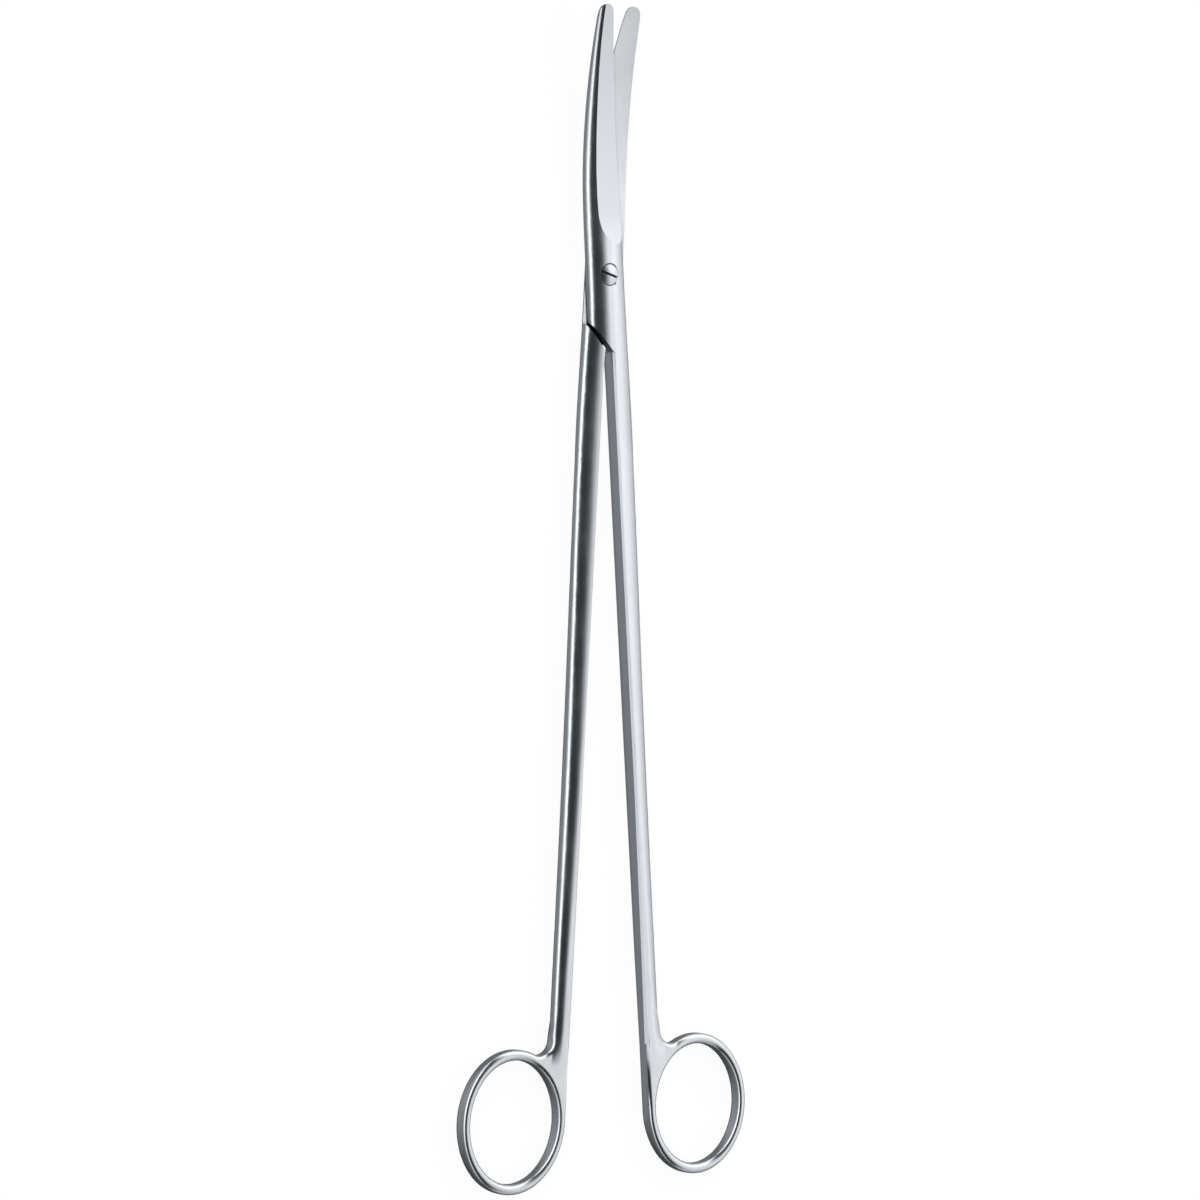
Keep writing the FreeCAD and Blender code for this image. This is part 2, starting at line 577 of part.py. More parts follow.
def rounded_nose(body, turn):
    """Blunts the tip to a round nose. Below it the cut flares out past the spine and the edge,
    so that the round runs into both without a step."""
    sketch = new_sketch(body, "nose_outline", "XY_Plane")
    lay_flat(sketch, turn, "sizes.layer_depth", size("layer_depth"))
    across = (size("edge_tip") - size("tip_half_width")) / 2
    across_text = "(sizes.edge_tip - sizes.tip_half_width) / 2"
    radius = size("nose_radius")
    place = size("blade_length") - radius
    flare = math.radians(size("nose_flare"))
    centre = Vector(across, place, 0)
    circle = Part.Circle(centre, Vector(0, 0, 1), radius)
    arc = sketch.addGeometry(Part.ArcOfCircle(circle, flare, math.pi - flare), False)
    sine, cosine, slope = math.sin(flare), math.cos(flare), math.tan(flare)
    drop = radius * (1 + sine)
    foot = radius * cosine + drop * slope
    far = 6 * radius
    corners = [Vector(across - radius * cosine, place + radius * sine, 0),
               Vector(across - foot, place - radius, 0),
               Vector(across - far, place - radius, 0),
               Vector(across - far, place + far, 0),
               Vector(across + far, place + far, 0),
               Vector(across + far, place - radius, 0),
               Vector(across + foot, place - radius, 0),
               Vector(across + radius * cosine, place + radius * sine, 0)]
    lines = []
    for start, end in zip(corners, corners[1:]):
        lines.append(sketch.addGeometry(Part.LineSegment(start, end), False))
    for one, other in zip(lines, lines[1:]):
        sketch.addConstraint(Sketcher.Constraint("Coincident", one, 2, other, 1))
    sketch.addConstraint(Sketcher.Constraint("Tangent", arc, 2, lines[0], 1))
    sketch.addConstraint(Sketcher.Constraint("Tangent", lines[-1], 2, arc, 1))
    hold_point(sketch, arc, 3, "centre", (across, across_text),
               (place, "sizes.blade_length - sizes.nose_radius"))
    bound = sketch.addConstraint(Sketcher.Constraint("Radius", arc, radius))
    bind(sketch, bound, "nose_radius", "sizes.nose_radius")
    foot_text = ("sizes.nose_radius * (cos(sizes.nose_flare * 1 deg)"
                 " + (1 + sin(sizes.nose_flare * 1 deg)) * tan(sizes.nose_flare * 1 deg))")
    low_text = "sizes.blade_length - 2 * sizes.nose_radius"
    high_text = "sizes.blade_length + 5 * sizes.nose_radius"
    far_text = "6 * sizes.nose_radius"
    for number, name, where, where_text, up, up_text in (
            (1, "left_foot", -foot, " - " + foot_text, place - radius, low_text),
            (2, "left_low", -far, " - " + far_text, place - radius, low_text),
            (3, "left_high", -far, " - " + far_text, place + far, high_text),
            (4, "right_high", far, " + " + far_text, place + far, high_text),
            (5, "right_low", far, " + " + far_text, place - radius, low_text),
            (6, "right_foot", foot, " + " + foot_text, place - radius, low_text)):
        hold_point(sketch, lines[number], 1, name, (across + where, across_text + where_text),
                   (up, up_text))
    return cut_both_ways(body, "nose", sketch, 60)


def wall_bevels(body, side):
    """Breaks the two long edges of the shank's flat inner wall, wider toward the ring. side is
    1 where the shank lies toward +X and -1 where it lies toward -X."""
    side_text = "" if side > 0 else "-"
    stations = (("lap_inner_place", "wall_gap_top", "shank_depth", "wall_chamfer"),
                ("shank_low_place", "wall_gap", "shank_low_depth", "wall_chamfer"),
                ("web_top_place", "wall_gap", "web_top_depth", "wall_chamfer"),
                ("shank_end_place", "wall_gap", "shank_end_depth", "wall_chamfer_end"))
    for level, level_name in ((1, "crest"), (-1, "belly")):
        sketches = []
        level_text = " + sizes." if level > 0 else " - sizes."
        for place, gap, depth, chamfer in stations:
            reach, reach_text = size(chamfer), "sizes." + chamfer
            height = size("layer_depth") + level * size(depth)
            height_text = "sizes.layer_depth" + level_text + depth
            sketch = new_sketch(body, level_name + "_bevel_at_" + place, "XZ_Plane")
            sketch.AttachmentOffset = Placement(Vector(0, 0, size(place)), Rotation())
            sketch.setExpression("AttachmentOffset.Base.z", "sizes." + place)
            wall, wall_text = side * size(gap), side_text + "sizes." + gap
            polygon(sketch, [
                ("low", wall, wall_text, height - reach, height_text + " - " + reach_text),
                ("right", wall + reach, wall_text + " + " + reach_text, height, height_text),
                ("high", wall, wall_text, height + reach, height_text + " + " + reach_text),
                ("left", wall - reach, wall_text + " - " + reach_text, height, height_text),
            ])
            sketches.append(sketch)
        bevel = body.newObject("PartDesign::SubtractiveLoft", level_name + "_bevel")
        bevel.Profile = sketches[0]
        bevel.Sections = sketches[1:]
        bevel.Ruled = True
        bevel.Refine = False


def rest_flat(body):
    """Grinds the belly of the joint flat, flush with the end of the screw, to lie on."""
    sketch = new_sketch(body, "rest_outline", "XY_Plane")
    wide = 3 * size("joint_half_width")
    wide_text = "3 * sizes.joint_half_width"
    low, low_text = -2 * size("neck_place"), "-2 * sizes.neck_place"
    high, high_text = 2 * size("root_place"), "2 * sizes.root_place"
    polygon(sketch, [
        ("low_left", -wide, "-" + wide_text, low, low_text),
        ("low_right", wide, wide_text, low, low_text),
        ("high_right", wide, wide_text, high, high_text),
        ("high_left", -wide, "-" + wide_text, high, high_text),
    ])
    pocket = body.newObject("PartDesign::Pocket", "rest_flat")
    pocket.Profile = sketch
    pocket.Refine = False
    pocket.Length = 10
    return pocket


def screw_hole(body, clearance, clearance_text):
    sketch = new_sketch(body, "hole_circle", "XY_Plane")
    radius = size("screw_diameter") / 2 + clearance
    circle = sketch.addGeometry(Part.Circle(Vector(), Vector(0, 0, 1), radius), False)
    sketch.addConstraint(Sketcher.Constraint("Coincident", circle, 3, -1, 1))
    bound = sketch.addConstraint(Sketcher.Constraint("Radius", circle, radius))
    bind(sketch, bound, "radius", "sizes.screw_diameter / 2" + clearance_text)
    return cut_both_ways(body, "screw_hole", sketch, 40)


def countersink(body):
    """Conical seat for the screw's head, open past the dome of the joint."""
    sketch = new_sketch(body, "seat_profile", "XZ_Plane")
    inner = size("screw_diameter") / 2 + size("screw_clearance")
    inner_text = "sizes.screw_diameter / 2 + sizes.screw_clearance"
    foot = size("head_seat") - size("screw_clearance") * (math.sqrt(2) - 1)
    foot_text = "sizes.head_seat - sizes.screw_clearance * (sqrt(2) - 1)"
    run = size("head_diameter") / 2
    run_text = "sizes.head_diameter / 2"
    polygon(sketch, [
        ("axis_low", 0.0, "0 * sizes.head_seat", foot, foot_text),
        ("foot", inner, inner_text, foot, foot_text),
        ("rim", inner + run, inner_text + " + " + run_text,
         foot + run, foot_text + " + " + run_text),
        ("axis_high", 0.0, "0 * sizes.head_seat", foot + run, foot_text + " + " + run_text),
    ])
    groove = body.newObject("PartDesign::Groove", "countersink")
    groove.Profile = sketch
    groove.ReferenceAxis = (sketch, ["V_Axis"])
    groove.Angle = 360
    groove.Refine = False
    return groove


def pivot_screw():
    """Countersunk screw with a slotted, slightly crowned head. Its end lies flush with the
    ground belly of the back half, which it is threaded into."""
    body = doc.addObject("PartDesign::Body", "pivot_screw")
    body.Label = "pivot_screw"
    sketch = new_sketch(body, "screw_profile", "XZ_Plane")
    radius, radius_text = size("screw_diameter") / 2, "sizes.screw_diameter / 2"
    head, head_text = size("head_diameter") / 2, "sizes.head_diameter / 2"
    seat, seat_text = size("head_seat"), "sizes.head_seat"
    rim, rim_text = seat + head - radius, seat_text + " + " + head_text + " - " + radius_text
    land, land_text = rim + size("head_land"), rim_text + " + sizes.head_land"
    top, top_text = land + size("head_crown"), land_text + " + sizes.head_crown"
    corners = [
        ("end_axis", 0.0, "0 * sizes.head_seat", 0.0, "0 * sizes.head_seat"),
        ("end_side", radius, radius_text, 0.0, "0 * sizes.head_seat"),
        ("seat", radius, radius_text, seat, seat_text),
        ("rim", head, head_text, rim, rim_text),
        ("land", head, head_text, land, land_text),
    ]
    for here, there in zip(corners, corners[1:]):
        sketch.addGeometry(Part.LineSegment(Vector(here[1], here[3], 0),
                                            Vector(there[1], there[3], 0)), False)
    lines = len(corners) - 1
    crown_radius = (head ** 2 + size("head_crown") ** 2) / (2 * size("head_crown"))
    half_way = math.sqrt(crown_radius ** 2 - (head / 2) ** 2) + top - crown_radius
    crown = sketch.addGeometry(Part.Arc(Vector(head, land, 0), Vector(head / 2, half_way, 0),
                                        Vector(0, top, 0)), False)
    axis = sketch.addGeometry(Part.LineSegment(Vector(0, top, 0), Vector()), False)
    for number in range(lines - 1):
        sketch.addConstraint(Sketcher.Constraint("Coincident", number, 2, number + 1, 1))
    # The arc was drawn from the rim to the top, so its start in the sketch is its rim end.
    sketch.addConstraint(Sketcher.Constraint("Coincident", lines - 1, 2, crown, 1))
    sketch.addConstraint(Sketcher.Constraint("Coincident", crown, 2, axis, 1))
    sketch.addConstraint(Sketcher.Constraint("Coincident", axis, 2, 0, 1))
    for number, (name, across, across_text, up, up_text) in enumerate(corners[:-1]):
        hold_point(sketch, number, 1, name, (across, across_text), (up, up_text))
    hold_point(sketch, lines - 1, 2, "land", (head, head_text), (land, land_text))
    hold_point(sketch, axis, 1, "top", (0.0, "0 * sizes.head_seat"), (top, top_text))
    bound = sketch.addConstraint(Sketcher.Constraint("Radius", crown, crown_radius))
    bind(sketch, bound, "crown_radius",
         "((sizes.head_diameter / 2)^2 + sizes.head_crown^2) / (2 * sizes.head_crown)")
    turned = body.newObject("PartDesign::Revolution", "turned_screw")
    turned.Profile = sketch
    turned.ReferenceAxis = (sketch, ["V_Axis"])
    turned.Angle = 360
    slot_sketch = new_sketch(body, "slot_outline", "XY_Plane")
    slot_sketch.AttachmentOffset = Placement(Vector(0, 0, top),
                                             Rotation(Vector(0, 0, 1), size("slot_turn")))
    slot_sketch.setExpression("AttachmentOffset.Base.z", top_text)
    slot_sketch.setExpression("AttachmentOffset.Rotation.Angle", "sizes.slot_turn * 1 deg")
    reach, reach_text = size("head_diameter"), "sizes.head_diameter"
    side, side_text = size("slot_width") / 2, "sizes.slot_width / 2"
    polygon(slot_sketch, [
        ("low_left", -reach, "-" + reach_text, -side, "-" + side_text),
        ("low_right", reach, reach_text, -side, "-" + side_text),
        ("high_right", reach, reach_text, side, side_text),
        ("high_left", -reach, "-" + reach_text, side, side_text),
    ])
    slot = body.newObject("PartDesign::Pocket", "slot")
    slot.Profile = slot_sketch
    slot.setExpression("Length", "sizes.slot_depth")
    doc.recompute()
    return body


def build_half(name, sign, turn):
    """One forged half. sign is 1 for the half above the meeting face and -1 for the one below;
    turn lays its flat outlines face up or face down."""
    body = doc.addObject("PartDesign::Body", name)
    body.Label = name
    finger_ring(body, turn)
    outer_form(body)
    lap_walls(body, turn, sign)
    wall_bevels(body, sign)
    lap_layer(body, turn, sign)
    meeting_face(body, sign)
    ground_facet(body, sign)
    straight_edge(body, turn)
    rounded_nose(body, turn)
    return body


front_half = build_half("front_half", 1, 0)
screw_hole(front_half, size("screw_clearance"), " + sizes.screw_clearance")
countersink(front_half)
back_half = build_half("back_half", -1, 180)
screw_hole(back_half, 0.0, "")
rest_flat(back_half)
screw = pivot_screw()

# Each half is turned by half of the opening, so that the blades open evenly about the +Y axis.
for half, swing in ((front_half, ""), (back_half, "-")):
    half.Placement = Placement(Vector(), Rotation(Vector(0, 0, 1), 1))
    half.setExpression("Placement.Rotation.Angle", swing + "sizes.opening / 2 * 1 deg")
screw.Placement = Placement(Vector(), Rotation(Vector(0, 0, 1), 1))
screw.setExpression("Placement.Rotation.Angle", "-sizes.opening / 2 * 1 deg")
doc.recompute()

for item in doc.Objects:
    if "Invalid" in item.State or "Error" in item.State:
        raise RuntimeError(item.Label + " could not be rebuilt")
for piece in (front_half, back_half, screw):
    if piece.Shape.isNull() or not piece.Shape.isValid():
        raise RuntimeError(piece.Label + " is not a sound solid")
    if len(piece.Shape.Solids) != 1:
        raise RuntimeError(piece.Label + " is not one solid")

for piece in (front_half, back_half, screw):
    box = piece.Shape.optimalBoundingBox(False, False)
    print(piece.Label, round(piece.Shape.Volume, 2), "mm3", round(box.XLength, 2),
          round(box.YLength, 2), round(box.ZLength, 2))
    piece.Shape.exportStep("parts/" + piece.Label + ".step")
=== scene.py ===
import bisect
import math
import bmesh
import bpy
from mathutils import Matrix, Vector


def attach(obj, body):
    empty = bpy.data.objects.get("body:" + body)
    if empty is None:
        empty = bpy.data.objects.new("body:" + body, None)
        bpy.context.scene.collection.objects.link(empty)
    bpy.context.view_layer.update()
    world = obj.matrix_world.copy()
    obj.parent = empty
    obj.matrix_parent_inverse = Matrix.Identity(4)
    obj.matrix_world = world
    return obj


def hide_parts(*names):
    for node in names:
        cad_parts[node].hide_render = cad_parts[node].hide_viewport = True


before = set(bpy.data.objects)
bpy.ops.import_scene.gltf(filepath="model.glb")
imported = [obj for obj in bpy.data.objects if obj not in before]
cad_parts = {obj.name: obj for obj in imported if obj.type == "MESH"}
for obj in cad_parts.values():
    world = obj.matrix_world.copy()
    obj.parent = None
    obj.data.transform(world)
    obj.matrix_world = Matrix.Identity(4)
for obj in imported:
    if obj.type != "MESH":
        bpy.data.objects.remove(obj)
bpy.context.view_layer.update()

# The camera of the photograph: a long lens, square to the scissors' length and leaning
# 38.5 degrees to their left, so that the blades' upward curve reads as a curve to the right.
# It was fitted to the outlines of both rings, both tips and the screw.
YAW, PITCH = math.radians(38.501), math.radians(0.929)
TARGET = Vector((-0.001143, -0.070019, 0.0021))
DISTANCE = 0.94052
FOCAL_SHARE = 4362.25 / 1200  # focal length over the width of the picture, in its pixels
SENSOR = 36.0                 # millimetres
NEAREST, FARTHEST = 0.01, 100

toward_camera = Vector((-math.sin(YAW) * math.cos(PITCH), math.sin(PITCH),
                        math.cos(YAW) * math.cos(PITCH)))
image_right = Vector((math.cos(YAW), 0, math.sin(YAW)))
image_up = toward_camera.cross(image_right)
camera_data = bpy.data.cameras.new("photo_camera")
camera_data.sensor_width = SENSOR
camera_data.lens = SENSOR * FOCAL_SHARE
camera_data.clip_start = NEAREST
camera_data.clip_end = FARTHEST
camera = bpy.data.objects.new("photo_camera", camera_data)
axes = Matrix((image_right, image_up, toward_camera)).transposed().to_4x4()
camera.matrix_world = Matrix.Translation(TARGET + toward_camera * DISTANCE) @ axes
bpy.context.scene.collection.objects.link(camera)
bpy.context.scene.camera = camera
bpy.context.scene.view_settings.view_transform = "Standard"


def linear(hex_colour):
    """sRGB hex to the linear colour that a shader takes."""
    channels = [int(hex_colour[i:i + 2], 16) / 255 for i in (1, 3, 5)]
    flat = [c / 12.92 if c <= 0.04045 else ((c + 0.055) / 1.055) ** 2.4 for c in channels]
    return (*flat, 1.0)


def add_node(tree, kind, links=(), **settings):
    """A node with its settings, and each socket linked or set to a value."""
    node = tree.nodes.new(kind)
    for name, value in settings.items():
        setattr(node, name, value)
    for socket, value in links:
        if isinstance(value, bpy.types.NodeSocket):
            tree.links.new(value, node.inputs[socket])
        else:
            node.inputs[socket].default_value = value
    return node


# The studio that the steel mirrors: long strips of light and dark card that run beside the
# scissors, as the streaks along the shanks of the photograph show them. The strips grow
# brighter toward the tips, and their dark parts are slightly blue. The camera sees white.
BANDS = [  # degrees over the top toward the scissors' left, brightness of the studio there
    (-180, 0.12), (-150, 0.14), (-120, 0.32), (-98, 0.55), (-80, 0.80), (-66, 0.98), (-56, 1.20),
    (-46, 1.32), (-40, 1.24), (-35, 1.00), (-28, 0.45), (-20, 0.06), (0, 0.035), (18, 0.045),
    (25, 0.25), (31, 1.5), (38, 2.0), (46, 1.4), (54, 0.75), (64, 0.40), (80, 0.25), (110, 0.27),
    (141, 0.31), (160, 0.18), (180, 0.12)]
BRIGHTEST = 2.2              # above every band, as a ramp's colours end at 1
BLUE_IN_DARK = 0.07
REACH, CHANGE = 0.55, 0.45   # sine of the tilt along the scissors, and the change up to there
world = bpy.data.worlds.new("studio")
bpy.context.scene.world = world
world.use_nodes = True
tree = world.node_tree
tree.nodes.clear()
direction = add_node(tree, "ShaderNodeTexCoord")
parts = add_node(tree, "ShaderNodeSeparateXYZ", [(0, direction.outputs["Generated"])])
left = add_node(tree, "ShaderNodeMath", [(0, parts.outputs["X"]), (1, -1.0)], operation="MULTIPLY")
angle = add_node(tree, "ShaderNodeMath", [(0, left.outputs[0]), (1, parts.outputs["Z"])],
                 operation="ARCTAN2")
place = add_node(tree, "ShaderNodeMapRange", [(0, angle.outputs[0]), (1, -math.pi), (2, math.pi)])
ramp = add_node(tree, "ShaderNodeValToRGB", [(0, place.outputs[0])])
stops = ramp.color_ramp.elements
while len(stops) > 1:
    stops.remove(stops[-1])
ramp.color_ramp.interpolation = "EASE"
for number, (degrees, level) in enumerate(BANDS):
    spot = (degrees + 180) / 360
    stop = stops[0] if number == 0 else stops.new(spot)
    stop.position = spot
    blue = BLUE_IN_DARK * (1 - min(1.0, level))
    share = level / BRIGHTEST
    stop.color = (share * (1 - blue), share, share * (1 + blue), 1)
lengthwise = add_node(tree, "ShaderNodeMapRange", [
    (0, parts.outputs["Y"]), (1, -REACH), (2, REACH),
    (3, BRIGHTEST * (1 - CHANGE)), (4, BRIGHTEST * (1 + CHANGE))])
glow = add_node(tree, "ShaderNodeBackground", [(0, ramp.outputs[0]), (1, lengthwise.outputs[0])])
white = add_node(tree, "ShaderNodeBackground", [(0, (1, 1, 1, 1)), (1, 1.0)])
ray = add_node(tree, "ShaderNodeLightPath")
mixed = add_node(tree, "ShaderNodeMixShader", [
    (0, ray.outputs["Is Camera Ray"]), (1, glow.outputs[0]), (2, white.outputs[0])])
add_node(tree, "ShaderNodeOutputWorld", [(0, mixed.outputs[0])])

# The white ground that the scissors lie on. The camera sees it nearly all as white light, and
# the rest as matt paper that takes their faint shadow. The steel's mirror rays pass through it
# to the studio, so that the sides' reflections stay those of the photograph.
FLOOR_HALF_WIDTH = 6.0
FLOOR_DROP = 0.00002         # metres under the scissors
FLOOR_GLOW, GLOW_SHARE = 1.05, 0.90
form = bmesh.new()
bmesh.ops.create_grid(form, x_segments=1, y_segments=1, size=FLOOR_HALF_WIDTH)
bmesh.ops.translate(form, verts=form.verts, vec=(0, 0, -FLOOR_DROP))
floor_mesh = bpy.data.meshes.new("floor")
form.to_mesh(floor_mesh)
form.free()
floor = bpy.data.objects.new("floor", floor_mesh)
bpy.context.scene.collection.objects.link(floor)
paper = bpy.data.materials.new("white_paper")
paper.use_nodes = True
tree = paper.node_tree
tree.nodes.clear()
matt = add_node(tree, "ShaderNodeBsdfDiffuse", [(0, linear("#F4F4F4"))])
lit = add_node(tree, "ShaderNodeEmission", [(0, (1, 1, 1, 1)), (1, FLOOR_GLOW)])
ray = add_node(tree, "ShaderNodeLightPath")
seen = add_node(tree, "ShaderNodeMath", [(0, ray.outputs["Is Camera Ray"]), (1, GLOW_SHARE)],
                operation="MULTIPLY")
clear = add_node(tree, "ShaderNodeBsdfTransparent")
mirrored = add_node(tree, "ShaderNodeMath", [
    (0, ray.outputs["Is Glossy Ray"]), (1, ray.outputs["Is Transmission Ray"])],
    operation="MAXIMUM")
unlit = add_node(tree, "ShaderNodeMixShader", [
    (0, mirrored.outputs[0]), (1, matt.outputs[0]), (2, clear.outputs[0])])
mixed = add_node(tree, "ShaderNodeMixShader", [
    (0, seen.outputs[0]), (1, unlit.outputs[0]), (2, lit.outputs[0])])
add_node(tree, "ShaderNodeOutputMaterial", [(0, mixed.outputs[0])])
floor_mesh.materials.append(paper)

# The pivot screw: a slotted countersunk screw of stainless steel, turned on a lathe, slotted
# and polished. Its own solid shows it whole, so it only takes its finish here, with painted shade
# in its slot.


def polished_steel(name, colour, roughness, across, along, depth):
    """Stainless steel polished one way: marks along the object's length (sizes in millimetres),
    soft blotches in the shine, and painted shade, a dark grey in the base colour, where two
    pieces or a slot's walls come close. The marks and blotches are drawn coarser than real ones, so
    that they show at this distance."""
    blotch, shade_reach = 9.0, 2.0
    material = bpy.data.materials.new(name)
    material.use_nodes = True
    tree = material.node_tree
    shader = tree.nodes["Principled BSDF"]
    shader.inputs["Metallic"].default_value = 1.0
    place = add_node(tree, "ShaderNodeTexCoord")
    stretched = add_node(tree, "ShaderNodeMapping", [
        (0, place.outputs["Object"]), (3, (1000 / across, 1000 / along, 1000 / across))])
    marks = add_node(tree, "ShaderNodeTexNoise", [
        ("Vector", stretched.outputs[0]), ("Scale", 1.0), ("Detail", 3.0), ("Roughness", 0.6)])
    blotches = add_node(tree, "ShaderNodeTexNoise", [
        ("Vector", place.outputs["Object"]), ("Scale", 1000 / blotch), ("Detail", 2.0)])
    shine = add_node(tree, "ShaderNodeMapRange", [
        (0, blotches.outputs[0]), (1, 0.3), (2, 0.7), (3, roughness - 0.03), (4, roughness + 0.04)])
    grain = add_node(tree, "ShaderNodeMapRange", [
        (0, marks.outputs[0]), (1, 0.3), (2, 0.7), (3, -0.03), (4, 0.03)])
    both = add_node(tree, "ShaderNodeMath", [(0, shine.outputs[0]), (1, grain.outputs[0])])
    tree.links.new(both.outputs[0], shader.inputs["Roughness"])
    # Painted shade: the base colour runs to dark grey #17191B where ambient occlusion finds other
    # surfaces within 2 mm, in the slot and between the halves.
    open_sky = add_node(tree, "ShaderNodeAmbientOcclusion", [("Distance", shade_reach / 1000)], samples=6)
    shade = add_node(tree, "ShaderNodeMapRange", [
        (0, open_sky.outputs["AO"]), (1, 0.30), (2, 0.92), (3, 0.0), (4, 1.0)])
    painted_shade = add_node(tree, "ShaderNodeMix", [
        (0, shade.outputs[0]), (6, linear("#17191B")), (7, linear(colour))], data_type="RGBA")
    tree.links.new(painted_shade.outputs[2], shader.inputs["Base Color"])
    relief = add_node(tree, "ShaderNodeBump", [
        ("Strength", 0.35), ("Distance", depth / 1000), ("Height", marks.outputs[0])])
    tree.links.new(relief.outputs[0], shader.inputs["Normal"])
    return material


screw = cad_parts["pivot_screw"]
screw.data.materials.clear()
screw.data.materials.append(polished_steel(
    "turned_stainless_steel", "#CDD0D5", 0.16, across=0.3, along=0.3, depth=0.002))

# The two forged halves: a curved blade, a lap of half the joint's depth, a long shank and a
# finger ring in one piece of stainless steel. Drop-forged, ground on the outer bevel of the
# blade and on the flat inner wall, then belt-polished lengthwise to a soft satin shine.
# Their form is the solids' own. The sizes below, in millimetres and in a half's own frame with
# the pair shut, only say which surface each facet stands for, so that it shines as that.
OPENING = 6.9                # degrees between the halves in the photograph
LAYER = 2.1                  # height of the plane between the halves
RUNNING_GAP = 0.06
SECTIONS = [  # place along the half, half width, dome, half of the flat crest, in millimetres
    (-167, 4.92, 1.54, 2.4), (-148, 4.92, 1.62, 1.95), (-113, 4.85, 1.88, 1.1),
    (-75, 5.15, 1.9, 0.6), (-40, 5.45, 1.9, 0.3), (-20, 5.35, 1.98, 0.3), (0, 5.1, 2.2, 0.3),
    (14, 4.98, 2.18, 0.3), (28, 4.4, 2.05, 0.3), (42, 3.54, 1.72, 0.3), (57.6, 2.35, 1.02, 0.3),
]
CURVE_START, CURVE_RADIUS = 17.0, 148.0
FACET_SLOPE, WHEEL_RADIUS, EDGE_THICKNESS = math.radians(13.0), 25.0, 0.3
FACET_POINTS = [(13.0, 5.0), (38.0, 3.75), (57.6, 1.45)]
RING_CENTRE, RING_DEPTH, RING_ROUNDING = (14.33, -182.0), 1.58, 1.0
RING_HOLE, RING_WIRE, WALL_GAP, SHANK_SIDE, CROTCH = (11.57, 13.17), 2.26, 0.5, 4.92, 3.3
RING_START = -167.0          # end of the shank's own form and of its wall's bevel
CROSSING = (-173.0, -145.0)  # where the shank runs out into the ring's web


def smooth_run(places, values):
    """Slopes of the smooth curve through one column of the sections."""
    count = len(places)
    upper, right = [0.0] * count, [0.0] * count
    for i in range(1, count - 1):
        left, ahead = places[i] - places[i - 1], places[i + 1] - places[i]
        rest = 2 * (left + ahead) - left * upper[i - 1]
        turn = 6 * ((values[i + 1] - values[i]) / ahead - (values[i] - values[i - 1]) / left)
        upper[i] = ahead / rest
        right[i] = (turn - left * right[i - 1]) / rest
    bends = [0.0] * count
    for i in range(count - 2, 0, -1):
        bends[i] = right[i] - upper[i] * bends[i + 1]
    return bends


PLACES = [row[0] for row in SECTIONS]
BENDS = [smooth_run(PLACES, [row[column] for row in SECTIONS]) for column in (1, 2, 3)]


def section_at(place):
    """Half width, dome and flat of the outer form at a place along the half."""
    i = max(0, min(len(PLACES) - 2, bisect.bisect_right(PLACES, place) - 1))
    span = PLACES[i + 1] - PLACES[i]
    b = min(1.0, max(0.0, (place - PLACES[i]) / span))
    a = 1 - b
    found = []
    for column, bends in enumerate(BENDS, start=1):
        value = a * SECTIONS[i][column] + b * SECTIONS[i + 1][column]
        value += ((a ** 3 - a) * bends[i] + (b ** 3 - b) * bends[i + 1]) * span * span / 6
        found.append(value)
    return found


def rise(run):
    """How high the blades' curve has climbed at a distance from the pivot."""
    over = max(0.0, run - CURVE_START)
    return CURVE_RADIUS - math.sqrt(CURVE_RADIUS ** 2 - over ** 2)


def form_level(x, y, z):
    """1 on the outer form, less inside it, more outside."""
    half_width, dome, flat = section_at(y)
    across = max(0.0, abs(x) - flat) / (half_width - flat)
    up = (z - LAYER - rise(y)) / dome
    return math.hypot(across, up)


def outer_form(p):
    """Miss and way out of the pair's common outer form."""
    x, y, z = p
    here = form_level(x, y, z)
    half_width, dome, flat = section_at(y)
    across = math.copysign(max(0.0, abs(x) - flat), x) / (half_width - flat) ** 2
    along = (form_level(x, y + 0.5, z) - form_level(x, y - 0.5, z)) * here
    up = (z - LAYER - rise(y)) / dome ** 2
    return abs(here - 1) * dome, Vector((across, along, up))


def meeting_face(p, sign):
    """Miss and way out of the face that the other half slides over."""
    x, y, z = p
    run = max(1e-6, math.hypot(x, y))
    over = max(0.0, run - CURVE_START)
    slope = over / math.sqrt(CURVE_RADIUS ** 2 - over ** 2)
    level = LAYER + sign * RUNNING_GAP / 2 + rise(run)
    return abs(z - level), sign * Vector((slope * x / run, slope * y / run, -1))


def circle_through(a, b, c):
    """The centre of the circle through three points."""
    d = 2 * (a.x * (b.y - c.y) + b.x * (c.y - a.y) + c.x * (a.y - b.y))
    aa, bb, cc = a.length_squared, b.length_squared, c.length_squared
    x = (aa * (b.y - c.y) + bb * (c.y - a.y) + cc * (a.y - b.y)) / d
    y = (aa * (c.x - b.x) + bb * (a.x - c.x) + cc * (b.x - a.x)) / d
    return Vector((x, y))


FACETS = {}  # per half: centre and radius of the facet's arc, centre of the wheel's run-out
for sign in (1, -1):
    points = []
    for place, edge in FACET_POINTS:
        stack = EDGE_THICKNESS + edge * math.tan(FACET_SLOPE)
        points.append(Vector((place, (LAYER + rise(place) + sign * stack) * math.cos(FACET_SLOPE))))
    centre = circle_through(*points)
    outward = (points[0] - centre).normalized()
    FACETS[sign] = (centre, (points[0] - centre).length, points[0] - outward * WHEEL_RADIUS * sign)


